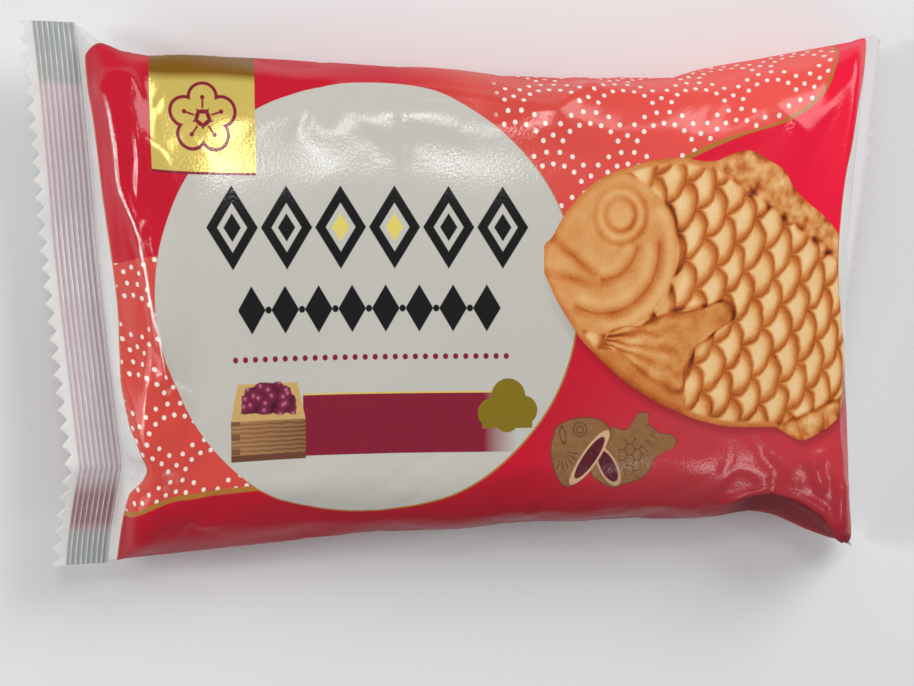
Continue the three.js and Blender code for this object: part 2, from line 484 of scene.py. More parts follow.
# The fin seal stands out of the back. The film beside it lies further in, over a zone that fades.
FIN_WIDTH, FIN_OUT, BESIDE_OUT = 11.0, 0.225, -0.045
FIN_ZONE, FIN_FADE, FIN_END_RUN = 40, 6, 12


def away_from(path, x, y):
    """How far places are from a path of straight pieces, and 1 except near its two ends."""
    away = np.full(np.broadcast(x, y).shape, np.inf)
    for (ax, ay), (bx, by) in zip(path, path[1:]):
        along = ((x - ax) * (bx - ax) + (y - ay) * (by - ay)) / math.dist((ax, ay), (bx, by)) ** 2
        along = np.clip(along, 0, 1)
        away = np.minimum(away, np.hypot(x - ax - along * (bx - ax), y - ay - along * (by - ay)))
    ends = [np.hypot(x - end[0], y - end[1]) for end in (path[0], path[-1])]
    return away, np.clip(np.minimum(*ends) / PATH_END, 0, 1)


def with_details(points):
    """The body's film with its ridges, dents and the fin seal along its back."""
    rows, around = points.shape[:2]
    run = BODY_RUNS[:, None]
    x = run - BODY_RUN / 2
    y = places_round(around)[None, :]
    free = off_ends(run, ROOT_FADE)
    for (at_x, at_y), (left, right), reach, shift in PUSHES:
        spread = np.where(x < at_x, left, right)
        share = free * np.exp(-(((x - at_x) / spread) ** 2) - ((y - at_y) / reach) ** 2)
        points = points + share[..., None] * np.array(shift)
    ahead = np.gradient(points, axis=0)
    onward = np.roll(points, -1, axis=1) - np.roll(points, 1, axis=1)
    outward = np.cross(ahead, onward)
    outward /= np.linalg.norm(outward, axis=-1, keepdims=True)
    lift = np.zeros((rows, around))
    for height, half, path in RIDGES:
        away, inner = away_from(path, x, y)
        rounded = np.maximum(0, 1 - (away / half) ** 2) ** 2
        hump = crest(away / half) if half > BROAD else rounded
        lift += height * hump * inner
    # The fin lies folded to one side of the back's middle.
    back = ROUND / 2 - np.abs(y)
    fin = np.where((y < 0) & (back < FIN_WIDTH), FIN_OUT, BESIDE_OUT)
    lift += fin * np.clip((FIN_ZONE - back) / FIN_FADE, 0, 1) * off_ends(run, FIN_END_RUN)
    return points + outward * (lift * free)[..., None]


def film_points():
    """Every point of the film in rows from the left edge to the right, and each row's run."""
    body = start_shape(np.linspace(0, BODY_RUN, SIM_ROWS + 1), places_round(SIM_AROUND))
    body = calmed(settle(body))
    body = between(body, SIM_ROWS * BODY_RUNS / BODY_RUN, closed=False)
    body = between(body.swapaxes(0, 1), np.arange(AROUND) * SIM_AROUND / AROUND, closed=True)
    body = with_details(body.swapaxes(0, 1))
    left_rows, seal_runs = seal_rows(LEFT)
    right_rows, _ = seal_rows(RIGHT)
    points = np.concatenate([left_rows[::-1], body, right_rows])
    right_runs = SEAL_RUN + BODY_RUN + seal_runs
    return points, np.concatenate([SEAL_RUN - seal_runs[::-1], SEAL_RUN + BODY_RUNS, right_runs])


def make_film():
    """The printed film as one closed mesh. Its UV map is the flat film, 0 to 1 each way."""
    points, runs = film_points()
    mesh, row, column = film_grid(len(runs) - 1, AROUND)
    uv = mesh.loops.layers.uv.new("flat_film")
    places = list(zip(mesh.verts, row, column))
    flat = {vert: (runs[i] / FILM_RUN, j / AROUND) for vert, i, j in places}
    for face in mesh.faces:
        face.smooth = True
        for loop in face.loops:
            loop[uv].uv = flat[loop.vert]
        middle = sum((loop[uv].uv for loop in face.loops), Vector((0, 0))) / len(face.loops)
        x, y = (middle.x - 0.5) * FILM_RUN, (middle.y - 0.5) * ROUND
        if abs(x) > BODY_RUN / 2:
            face.material_index = SEAL
        elif abs(y) > BACK_FROM:
            face.material_index = BACK
        else:
            split = TOP_SPLIT_X if y > TOP_FROM else SPLIT_X
            face.material_index = FRONT_LEFT if x < split else FRONT_RIGHT
    for vert, i, j in places:
        vert.co = Vector(points[i, j % AROUND]) * MM
    join_up(mesh)
    bmesh.ops.recalc_face_normals(mesh, faces=mesh.faces[:])
    for edge in mesh.edges:
        edge.smooth = edge.calc_face_angle(0) < SHARP_FROM
    return add_object("printed_film", mesh)


# Finishes. Shader maths is written as expressions on wires.

def ink(red, green, blue):
    """A colour in screen values, made linear for a shader."""
    values = (np.array([red, green, blue]) / 255).tolist()
    return tuple(v / 12.92 if v < 0.04 else ((v + 0.055) / 1.055) ** 2.4 for v in values) + (1.0,)


class Wire:
    """A value that varies over a surface. Arithmetic on it adds Math nodes to its finish."""

    def __init__(self, finish, socket):
        self.finish = finish
        self.socket = socket

    def __add__(self, other):
        return maths("ADD", self, other)

    def __sub__(self, other):
        return maths("SUBTRACT", self, other)

    def __rsub__(self, other):
        return maths("SUBTRACT", other, self)

    def __mul__(self, other):
        return maths("MULTIPLY", self, other)

    def __truediv__(self, other):
        return maths("DIVIDE", self, other)

    def __mod__(self, other):
        return maths("FLOORED_MODULO", self, other)

    def __neg__(self):
        return maths("MULTIPLY", self, -1)

    def __abs__(self):
        return maths("ABSOLUTE", self)

    __radd__ = __add__
    __rmul__ = __mul__


class Finish:
    """A material and the nodes that it is made of."""

    def __init__(self, name):
        self.material = bpy.data.materials.new(name)
        self.material.use_nodes = True
        self.tree = self.material.node_tree
        self.tree.nodes.clear()

    def node(self, kind, settings, sockets, output=0):
        """Adds a node: first its settings, then the value or the wire of each socket."""
        made = self.tree.nodes.new("ShaderNode" + kind)
        for name, value in settings.items():
            if name == "stops":
                stops = made.color_ramp.elements
                for place, colour in value[1:-1]:
                    stops.new(place).color = colour
                stops[0].color, stops[-1].color = value[0][1], value[-1][1]
            elif name == "curve":
                points = made.mapping.curves[0].points
                while len(points) < len(value):
                    points.new(1, 1)
                for point, place in zip(points, value):
                    point.location = place
                made.mapping.update()
            else:
                setattr(made, name, value)
        for name, value in sockets.items():
            if isinstance(value, Wire):
                self.tree.links.new(value.socket, made.inputs[name])
            else:
                made.inputs[name].default_value = value
        return Wire(self, made.outputs[output]) if made.outputs else None


def maths(operation, *values, clamp=False):
    """One Math node on wires and numbers."""
    finish = next(value.finish for value in values if isinstance(value, Wire))
    settings = {"operation": operation, "use_clamp": clamp}
    return finish.node("Math", settings, dict(enumerate(values)))


def smaller(first, *others):
    for other in others:
        first = maths("MINIMUM", first, other)
    return first


def larger(first, *others):
    for other in others:
        first = maths("MAXIMUM", first, other)
    return first


def joined(x, y):
    return x.finish.node("CombineXYZ", {}, {0: x, 1: y})


def part_of(vector, axis):
    return vector.finish.node("SeparateXYZ", {}, {0: vector}, axis)


def length(x, y):
    return x.finish.node("VectorMath", {"operation": "LENGTH"}, {0: joined(x, y)}, output=1)


def inside(distance, soft=0.1):
    """1 where a distance to an edge is below 0, fading to 0 across the edge."""
    return maths("MULTIPLY_ADD", distance, -1 / soft, 0.5, clamp=True)


def line(distance, width, soft=0.1):
    return inside(abs(distance) - width / 2, soft)


def blend(first, second, share):
    return first + (second - first) * share


def read(points, value, low, high):
    """A smooth curve through points, read at a value. The curve's heights span low to high."""
    start, end = points[0][0], points[-1][0]
    curve = [((x - start) / (end - start), (y - low) / (high - low)) for x, y in points]
    share = (value - start) / (end - start)
    return value.finish.node("FloatCurve", {"curve": curve}, {1: share}) * (high - low) + low


def mottle(place, scale, detail=2.0, output=0):
    """Even noise about 0.5, with its scale in lumps per millimetre."""
    sockets = {"Vector": place, "Scale": scale, "Detail": detail}
    return place.finish.node("TexNoise", {"noise_dimensions": "2D"}, sockets, output)


def paint(colour, *layers):
    """A colour under layers, each of them a colour and how much it covers."""
    for layer, cover in layers:
        sockets = {0: cover, 6: colour, 7: layer}
        colour = cover.finish.node("Mix", {"data_type": "RGBA"}, sockets, output=2)
    return colour


def seen_from(place, at, turn=0):
    """A place measured from another point, along axes turned by some degrees."""
    x, y = place[0] - at[0], place[1] - at[1]
    if not turn:
        return x, y
    cosine, sine = math.cos(math.radians(turn)), math.sin(math.radians(turn))
    return x * cosine + y * sine, y * cosine - x * sine


# Distances, in millimetres of flat film, to the edges of printed shapes: negative inside.

def round_spot(place, at, radius):
    return length(*seen_from(place, at)) - radius


def rectangle(place, at, half):
    x, y = seen_from(place, at)
    return larger(abs(x) - half[0], abs(y) - half[1])


def diamond(place, half):
    x, y = place
    steep = half[0] * half[1] / math.hypot(*half)
    return (abs(x) * (1 / half[0]) + abs(y) * (1 / half[1]) - 1) * steep


def oval(place, at, half, turn=0):
    x, y = seen_from(place, at, turn)
    return (length(x * (1 / half[0]), y * (1 / half[1])) - 1) * min(half)


def outline(place, middle, corners):
    """A closed shape drawn through corners that can all be seen from its middle."""
    x, y = seen_from(place, middle)
    spokes = [(cx - middle[0], cy - middle[1]) for cx, cy in corners]
    polar = sorted((math.atan2(up, along), math.hypot(along, up)) for along, up in spokes)
    (first, near), (last, far) = polar[0], polar[-1]
    gap = (math.pi - last) / (2 * math.pi + first - last)
    seam = far + (near - far) * gap
    points = [(-math.pi, seam)] + polar + [(math.pi, seam)]
    reach = read(points, maths("ARCTAN2", y, x), 0, 1.05 * max(r for _, r in points))
    return length(x, y) - reach


def arc(place, at, radius, middle, spread):
    """A place's distance from an arc, and 1 within the arc's spread in degrees round its middle."""
    x, y = seen_from(place, at, middle)
    turn = abs(maths("ARCTAN2", y, x))
    return length(x, y) - radius, inside(turn - math.radians(spread), 0.12)


# The print, in the same millimetres of flat film.

PRINT_SCALE, PRINT_SHIFT = 1.0163, 0.65
DISC_AT, DISC_HALF = (-26.3, 0.7), (44, 40.8)
LABEL_AT, LABEL_HALF = (-59.6, 41.2), (10.5, 17.3)
WAVE_WIDTH, WAVE_ROW, WAVE_DOT = 15.7, 7.8, 0.48
LEFT_WAVES_AT, RIGHT_WAVES_AT = (-75.7, -4.5), (20.3, 27.1)
LEFT_WAVES_SQUEEZE = 0.885

RED, BRIGHT_RED, DEEP_RED = ink(206, 14, 44), ink(252, 16, 60), ink(92, 5, 18)
PAINTED_SHEEN_RED, CREAM = ink(190, 64, 70), ink(250, 242, 228)
CORAL, BRIGHT_CORAL = ink(222, 76, 66), ink(248, 88, 80)
DISC_WHITE = ink(204, 201, 191)
GOLD, LINE_GOLD, CLOUD_GOLD = ink(228, 202, 104), ink(186, 122, 48), ink(160, 136, 36)
PAINTED_SHADE_GOLD, MAROON, BLACK = ink(132, 88, 2), ink(140, 26, 52), ink(20, 18, 19)

WAFFLE_MIDDLE = (45, 1.5)
WAFFLE_EDGE = (
    (9.9, 7.5), (10.3, 10.3), (12, 12), (14.3, 15.8), (17.9, 19.9), (22.1, 23.1),
    (27.7, 25.2), (33, 26.5), (40.3, 26.9), (46.1, 26), (50.5, 27.1), (55.6, 27.3),
    (58.2, 25.8), (62.4, 22.9), (64.7, 19.6), (67.6, 17.1), (72, 14), (75.5, 11.2),
    (80, 6), (84, 0), (84, -12), (80.5, -19), (77.5, -22.2), (71.4, -25.9),
    (67.2, -27.4), (63.6, -26), (60.6, -24.9), (54.1, -24.8), (49.4, -24.4), (43.6, -23),
    (36, -20), (26.7, -14.5), (17.7, -6.4), (12, 2.3), (10.8, 4.6),
)
CRUST = (
    (0, ink(92, 36, 18)),
    (0.2, ink(164, 76, 26)),
    (0.38, ink(204, 114, 44)),
    (0.58, ink(224, 152, 84)),
    (0.8, ink(240, 184, 118)),
    (1, ink(252, 214, 158)),
)
EYE_AT, MOUTH_CORNER, GILL_AT, GILL_RADIUS = (26.5, 16.3), (21.6, 4.6), (23.2, 9.4), 16.0
SCALE_AT, SCALE_TURN, SCALE_HALF = (56.4, 4.2), -22, (3.25, 4.5)
SCALE_STEPS = ((2.1, -5.3), (4.4, 3.95))
SIDE_FIN_MIDDLE = (37.5, -8.5)
SIDE_FIN = (
    (23.6, -7.6), (31.2, -4.6), (37.7, -2.4), (44.2, -1.7), (49.5, -1.5), (50.6, -3.4),
    (48.9, -5), (45.2, -7.4), (41.9, -10.2), (40.1, -13.6), (39.6, -16.8), (34.6, -15.6),
    (29.6, -12.2), (26, -9.2),
)


def scale_reach(place, wobble):
    """Overlapping scales: 0 at the middle of the uppermost one, 1 at its rim, and past 1 in the
    groove round it."""
    along, up = seen_from(place, SCALE_AT, SCALE_TURN)
    along, up = along + wobble[0] * 1.5, up + wobble[1] * 1.5
    steps = [seen_from(step, (0, 0), SCALE_TURN) for step in SCALE_STEPS]
    (ax, ay), (bx, by) = steps
    spread = ax * by - ay * bx
    i = (along * (by / spread) - up * (bx / spread)) % 1
    j = (up * (ax / spread) - along * (ay / spread)) % 1
    # The same place, measured in half scales from the cell's first corner.
    u = i * (ax / SCALE_HALF[0]) + j * (bx / SCALE_HALF[0])
    v = i * (ay / SCALE_HALF[1]) + j * (by / SCALE_HALF[1])
    reach = 1.3
    for m, n in ((1, 1), (1, 0), (0, 1), (0, 0)):
        middle = (m * ax + n * bx) / SCALE_HALF[0], (m * ay + n * by) / SCALE_HALF[1]
        over = length(u - middle[0], v - middle[1])
        under = larger(reach, over * -3 + 4.22)
        reach = blend(under, over, inside(over - 1, 0.1))
    return reach


def waffle(place, grain):
    """The large fish-shaped waffle: its colour, and each place's distance from its edge."""
    x, y = place
    edge = outline(place, WAFFLE_MIDDLE, WAFFLE_EDGE)
    cloudy = mottle(grain, 0.2, output=1)
    wobble = [part_of(cloudy, axis) - 0.5 for axis in (0, 1)]
    speckle = mottle(grain, 1.7, 3) - 0.5
    tone = 0.645 + wobble[0] * 0.26 + speckle * 0.16

    fin_line = (y + x * 0.65 - 55.1) * 0.84
    side_fin = outline(place, SIDE_FIN_MIDDLE, SIDE_FIN)
    gill = round_spot(place, GILL_AT, GILL_RADIUS)
    belly = larger(x - 40.5, y + 9)
    low_fin = (x - 62) * 0.36 - 24.6 - y
    scaled = larger(-gill - 0.6, fin_line, edge + 1.2, -belly, -side_fin, low_fin)
    profile = (
        (0, 0.95), (0.4, 0.93), (0.6, 0.82), (0.75, 0.6), (0.88, 0.43), (1.04, 0.33), (1.3, 0.1),
    )
    scales = read(profile, scale_reach(place, wobble), 0, 1)
    scales = scales + wobble[1] * 0.22 + speckle * 0.14
    tone = blend(tone, scales, inside(scaled, 0.7))
    tone -= inside(larger(belly, -gill), 2) * 0.12

    # Ribs of the side fin, and the shade beside it.
    fan = seen_from(place, (20.0, -6.8))
    fan_turn = maths("ARCTAN2", fan[1], fan[0])
    ribs = abs((fan_turn * (180 / math.pi / 11) + wobble[1] + 0.25) % 1 - 0.5)
    ribs = (ribs - 0.25) * inside(x - 36, 16)
    rib_tone = ribs * 0.8 + wobble[0] * 0.5 + speckle * 0.2 + 0.53
    tone = blend(tone, rib_tone, inside(side_fin, 0.7))
    tone -= line(side_fin - 0.5, 0.9, 1.1) * inside(38 - x, 6) * 0.4
    tone -= line(side_fin, 0.7, 1.1) * 0.14

    # The crumpled fin along the back, with dark gaps under it.
    ridge = mottle(grain, 0.36, 2.5)
    back_fin = inside(-fin_line, 0.9) * inside(47 - x, 4)
    tone = blend(tone, ridge * 1.3 - 0.07, back_fin)
    belly_fin = inside(-low_fin, 0.9) * inside(62 - x, 3)
    tone = blend(tone, ridge * 1.1 + 0.1, belly_fin)
    beat = abs((x * 0.83 - y * 0.55) / 4.4 % 1 - 0.5)
    gaps = line(fin_line, 1.2, 1.1) * inside(0.3 - beat, 0.25)
    tone -= gaps * inside(51 - x, 3) * 0.5
    tone -= line(low_fin, 0.6, 0.9) * inside(62 - x, 3) * 0.4

    # Grooves of the gill and the cheek, each with a light lip inside it.
    for at, radius, middle, half_turn, depth in (
        (GILL_AT, GILL_RADIUS, -27, 62, 0.22),
        ((22.8, 9.7), 11.9, -56, 64, 0.3),
        ((22.6, 11.8), 7.6, -50, 42, 0.26),
    ):
        away, along_arc = arc(place, at, radius, middle, half_turn)
        tone -= line(away - 0.3, 1.2, 2.0) * along_arc * depth
        tone -= line(away, 0.3, 0.5) * along_arc * 0.16
        tone += line(away + 2.0, 1.2, 1.8) * along_arc * 0.16

    for start, end, depth in (
        ((12.6, 11.6), MOUTH_CORNER, 0.3),
        ((11.6, 5.6), (20.8, 3.2), 0.22),
    ):
        turn = math.degrees(math.atan2(end[1] - start[1], end[0] - start[0]))
        middle = ((start[0] + end[0]) / 2, (start[1] + end[1]) / 2)
        lip = oval(place, middle, (math.dist(start, end) / 2, 0.9), turn)
        tone -= inside(lip, 1.3) * depth
        tone -= inside(lip + 0.7, 0.4) * 0.12

    # Eye: a round bead in a groove with a ring round it, darker on the side away from the light.
    ex, ey = seen_from(place, EYE_AT)
    eye = length(ex, ey)
    shade = 0.62 + (ex - ey) / (eye + 0.01) * 0.27
    tone += inside(eye - 2.3, 1.6) * 0.12
    tone -= line(eye - 3.1, 0.7, 1.3) * shade * 0.42
    tone += line(eye - 4.3, 0.7, 1.0) * 0.12
    tone -= line(eye - 5.5, 0.7, 1.4) * shade * 0.36

    tone -= inside(-edge - 0.7, 1.6) * 0.22
    tone -= inside(-edge - 3.5, 6) * inside(y + 4, 14) * 0.1
    return tone.finish.node("ValToRGB", {"stops": CRUST}, {0: tone}), edge


def wave_dots(place, at):
    """Where the cream dots lie on rows of overlapping arcs, of which one is centred at a point."""
    x, y = seen_from(place, at)
    row = maths("FLOOR", (y - 1.75) / WAVE_ROW)
    up = y - row * WAVE_ROW
    across = (x + (row % 2 + 1) * (WAVE_WIDTH / 2)) % WAVE_WIDTH - WAVE_WIDTH / 2
    reach = length(across, up)
    turn = maths("ARCTAN2", across, up) * (180 / math.pi)
    # One dot where two neighbours meet, then the dots along the inner arc and the outer one.
    dots = length(abs(across) - WAVE_WIDTH / 2, up - 4.4)
    for radius, step, shift, last in ((6.7, 20, 0.5, 67), (9.05, 17.6, 0, 50)):
        along = (turn / step + shift) % 1 - 0.5
        dot = length(along * (step * math.pi / 180 * radius), reach - radius)
        dots = smaller(dots, larger(dot, (abs(turn) - last) * 0.1))
    return inside(dots - WAVE_DOT, 0.12)


def bean_box(place, grain):
    """A square wooden measure heaped with beans: a list of colours and what each covers."""
    x, y = place
    front = rectangle(place, (-47.5, -25.0), (8.0, 3.75))
    lines = maths("SINE", y * 7.6 + mottle(grain, 0.5, 1) * 3) * 0.5 + 0.5
    shaded = lines * 0.6 + inside(x + 46, 14) * 0.5
    wood = paint(ink(108, 70, 44), (ink(178, 130, 86), shaded))
    lean = abs(x + 47.5) + (y + 21.3) * 0.24
    top = larger(lean - 8.0, abs(y + 17.9) - 3.4)
    hollow = larger(lean - 6.2, abs(y + 17.6) - 2.3)
    flat = {"voronoi_dimensions": "2D"}
    cells = grain.finish.node("TexVoronoi", flat, {"Vector": grain, "Scale": 0.5})
    heap = smaller(
        oval(place, (-47.3, -16.9), (4.8, 2.6)),
        rectangle(place, (-47.3, -18.4), (5.6, 1.7)),
    )
    heap = heap + cells * 0.8 - 0.45
    beans = paint(ink(152, 46, 82), (ink(70, 14, 38), cells * 1.2))
    joints = abs((y + 30.3) / 2.7 % 1 - 0.25) - 0.2
    joints = larger(joints * 2.7, abs(x + 54.5) - 0.95, front)
    return (
        (wood, inside(front)),
        (ink(128, 88, 58), inside(joints)),
        (ink(112, 68, 48), inside(larger(front, y + 27.6))),
        (ink(214, 174, 108), inside(top)),
        (ink(110, 78, 48), inside(hollow)),
        (beans, inside(heap, 0.2)),
        (ink(200, 124, 156), inside(heap, 0.2) * inside(cells - 0.16, 0.12) * 0.7),
    )


SMALL_HEAD = (
    (12.7, -25.2), (13.1, -23.9), (15, -22.7), (18, -22), (21.1, -22.1), (24, -23.6),
    (24.9, -25.4), (22.4, -29.3), (20.4, -32.2), (17.3, -35.1), (15.4, -35.4), (14, -34),
    (12.6, -31), (12.1, -27.8),
)
SMALL_TAIL = (
    (24.8, -24.1), (27.8, -24.5), (29.4, -23), (32.4, -21.3), (32.9, -23.7), (35.3, -25.3),
    (38.8, -26.6), (39, -27.4), (36.9, -28.9), (34.2, -30.8), (33.5, -32.6), (31.3, -34.4),
    (28.7, -35.2), (25.6, -35.9), (22.9, -34.6), (20.8, -32.5), (22.4, -29.3),
)


def small_fish(place, grain):
    """A small baked fish cut in half: a list of colours and what each covers."""
    x, y = place
    baked = paint(ink(134, 90, 54), (ink(164, 118, 76), mottle(grain, 0.9, 3)))
    line_ink = ink(98, 60, 34)
    tail = outline(place, (29.5, -29.8), SMALL_TAIL)
    head = outline(place, (18.2, -28.4), SMALL_HEAD)
    tail_cut = oval(place, (24.4, -31.6), (4.6, 1.9), -58)
    head_cut = oval(place, (20.4, -29.8), (6.5, 1.75), 53)
    paste = paint(ink(74, 14, 26), (ink(112, 38, 50), mottle(grain, 0.9)))
    scale_x, scale_y = seen_from(place, (28.4, -29.4))
    row = maths("FLOOR", scale_x / 1.6)
    scale_y = (scale_y + row % 2 * 1.05) % 2.1 - 1.05
    arcs = length(scale_x - row * 1.6 - 0.5, scale_y) - 1.05
    scales = line(arcs, 0.2) * inside(oval(place, (29.2, -29.6), (2.7, 3.9)))
    tail_x, tail_y = seen_from(place, (33.6, -26.6), 50)
    rays = inside(larger(abs(tail_x % 1.5 - 0.75) - 0.1, abs(tail_y) - 0.9))
    rays *= inside(abs(tail_x) - 2.6)
    eye = length(*seen_from(place, (18.2, -24.3)))
    rings = smaller(abs(eye - 0.72), abs(eye - 1.38)) - 0.11
    mouth = abs(oval(place, (14.6, -25.3), (0.6, 1.6), 12)) - 0.11
    fan_x, fan_y = seen_from(place, (14.4, -28.4))
    fan = larger(
        abs(maths("ARCTAN2", fan_y, fan_x) * (9.5 / math.pi) % 1 - 0.5) * 2 - 0.25,
        length(fan_x, fan_y) - 3.6,
        fan_y,
    )
    drawn = inside(smaller(rings, mouth, fan))
    return (
        (baked, inside(tail)),
        (line_ink, line(tail, 0.25) * 0.7),
        (line_ink, (scales + rays) * inside(tail) * 0.8),
        (ink(206, 168, 126), inside(tail_cut)),
        (paste, inside(tail_cut + 0.4)),
        (baked, inside(head)),
        (line_ink, line(head, 0.25) * 0.7),
        (line_ink, drawn * inside(head) * 0.8),
        (ink(216, 180, 138), inside(head_cut)),
        (paste, inside(head_cut + 0.42)),
    )


def cloud(place):
    """A plain gold cloud's distance."""
    puffs = (((-0.6, -20.8), 2.7), ((3, -17.9), 3.6), ((6.3, -20.4), 2.8), ((2.8, -22), 2.6))
    base = rectangle(place, (2.9, -22.7), (5.2, 1.1))
    return smaller(base, *(round_spot(place, at, radius) for at, radius in puffs))


def blossom(place, at):
    """A five-petalled plum blossom drawn in line: its cover."""
    x, y = seen_from(place, at)
    reach = length(x, y)
    sector = math.radians(72)
    turn = (maths("ARCTAN2", x, y) + sector / 2) % sector - sector / 2
    px, py = reach * maths("SINE", turn), reach * maths("COSINE", turn)
    petal = length(px, py - 3.9) - 2.8
    heart = abs(reach - 1.4) - 0.24
    stamen = larger(abs(px) - 0.2, abs(py - 2.7) - 0.85)
    tip = length(px, py - 3.9) - 0.45
    return inside(smaller(abs(petal) - 0.34, heart, stamen, tip), 0.12)


def ornaments(place):
    """Rows on the disc: nested diamonds, small diamonds with beads, and dots. A cover for each of
    black, gold and maroon."""
    x, y = seen_from(place, (-26.2, 13.9))
    large = ((x + 33.6) % 11.2 - 5.6, y)
    rim = larger(diamond(large, (5.3, 7.7)), -diamond(large, (3.1, 4.5)))
    heart = diamond(large, (1.8, 2.6))
    gold_heart = larger(heart, abs(x) - 11.2)
    black_heart = larger(heart, 11.2 - abs(x))
    outer = larger(smaller(rim, black_heart), abs(x) - 33.6)
    x, y = seen_from(place, (-26.0, -1.1))
    small = ((x + 28) % 7.0 - 3.5, y)
    bead = length((x + 24.5) % 7.0 - 3.5, y) - 0.65
    inner = smaller(diamond(small, (2.9, 4.4)), bead)
    inner = larger(inner, abs(x) - 27.3)
    x, y = seen_from(place, (-25.8, -10.1))
    dotted = larger(length((x + 29.4) % 2.1 - 1.05, y) - 0.55, abs(x) - 29.4)
    covers = (smaller(outer, inner), gold_heart, dotted)
    return [inside(distance, 0.12) for distance in covers]


def with_disc(place, colour):
    """A colour with the pale disc over it, and the disc's thin gold line at its lower right."""
    disc = oval(place, DISC_AT, DISC_HALF)
    lower_right = inside((place[1] - place[0]) * 0.02 - 0.2, 0.8)
    gold_line = line(disc, 0.35) * lower_right
    return paint(colour, (DISC_WHITE, inside(disc)), (LINE_GOLD, gold_line))


def low_facet(place):
    """1 on the steep facet under the lower right crease, fading out down the pack's side."""
    x, y = place
    crease = (
        (40, -43.5), (47.4, -41.5), (59, -38.9), (73.3, -41.2), (77.5, -43.4), (84, -50),
    )
    facet = inside(y - read(crease, x, -60, -30), 0.8) * inside(48 - x, 16)
    return facet * inside(-57 - y, 16)


def red_ground(place):
    """The red under the rest of the print, with a painted sheen low in the middle and painted shade
    down the side.
    """
    x, y = place
    # Painted sheen: a paler red low in the middle stands in for a reflection.
    painted_sheen = inside(24 - x, 34) * inside(y + 14, 18) * inside(-44 - y, 12)
    # Painted shade: the red darkens down the lower side and on round the back.
    low = inside(y + 39, 16) * (inside(-30 - x, 50) * 0.5 + 0.5)
    # The facets under the lower right crease and at the upper left corner lie in the shade.
    corner = inside(46.9 - y, 0.5) * inside(x + 73, 5) * 0.3
    shade = larger(low * 0.7, low_facet(place) * 0.85, corner)
    return paint(
        RED,
        (BRIGHT_RED, inside(46 - x, 60)),
        (PAINTED_SHEEN_RED, painted_sheen * 0.75),
        (DEEP_RED, shade),
    )


def to_print(x):
    """From the film's x to the print's own, which runs a little short along the film."""
    return x * PRINT_SCALE + PRINT_SHIFT


def crease_highlight(place, grain):
    """Where a painted highlight lies along the sharp crease at the left."""
    x, y = place
    crease = [(across, to_print(along)) for along, across in reversed(LEFT_CREASE)]
    away = read(crease, y, -90, -60) - x
    # The painted highlight is broken up unevenly.
    highlight_breakup = mottle(grain, 0.7) * 1.6 - 0.05
    return line(away, 0.45, 0.3) * highlight_breakup * inside(abs(y - 12.5) - 23, 4)


def coral_band(place):
    """The distance to the edge of the coral field along the upper right."""
    edge = (
        (15, 22), (20, 26), (26.9, 40.9), (30.4, 51), (32.8, 63.4), (36.4, 70.8),
        (41.6, 74.4), (51, 76.9), (60, 77.6), (66, 77.8),
    )
    return larger(place[0] - read(edge, place[1], 0, 90), 16 - place[1])


def left_print(place, grain):
    """The print on the front's left: its colour, and how metallic it is."""
    x, y = place
    low_edge = ((-84, -42), (-79, -38.9), (-72.6, -35.4), (-62.3, -34.2), (-40, -33.6))
    low = y - read(low_edge, x, -60, -20)
    field = inside(larger(y - 6.6 - (x + 80) * 0.2, -low, x + 30))
    # The rows lie closer together here.
    middle_y = LEFT_WAVES_AT[1]
    dots = wave_dots((x, (y - middle_y) / LEFT_WAVES_SQUEEZE + middle_y), LEFT_WAVES_AT)
    ground = paint(
        red_ground(place),
        (CORAL, field),
        (CREAM, field * dots),
        (LINE_GOLD, line(low, 1.0) * inside(x + 38)),
    )
    black, gold, maroon = ornaments(place)
    band = rectangle(place, (-17.0, -22.6), (23.0, 5.7))
    band_line = rectangle(place, (-17.0, -16.8), (23.0, 0.16))
    band_end = inside(x - 1.5, 7)
    gold_cloud = inside(cloud(place))
    label = inside(rectangle(place, LABEL_AT, LABEL_HALF))
    low_line = (LABEL_AT[0], LABEL_AT[1] - LABEL_HALF[1] - 0.2)
    label_line = rectangle(place, low_line, (LABEL_HALF[0], 0.28))
    drawn = blossom(place, (LABEL_AT[0], 34.0)) * label
    colour = paint(
        with_disc(place, ground),
        (BLACK, black),
        (ink(236, 218, 110), gold),
        (MAROON, maroon),
        (MAROON, inside(band) * band_end),
        (GOLD, inside(band_line) * band_end),
        *bean_box(place, grain),
        (CLOUD_GOLD, gold_cloud),
        (MAROON, inside(label_line)),
        # Painted shade: the label's gold is darker at its top, over the shoulder.
        (paint(GOLD, (PAINTED_SHADE_GOLD, inside(42 - y, 2))), label),
        (MAROON, drawn),
        # A painted highlight along the sharp crease at the left.
        (ink(255, 250, 246), crease_highlight(place, grain)),
    )
    metal = label * (1 - drawn) * inside(y - 42, 2) * 0.24
    return colour, larger(metal, gold_cloud * 0.4)


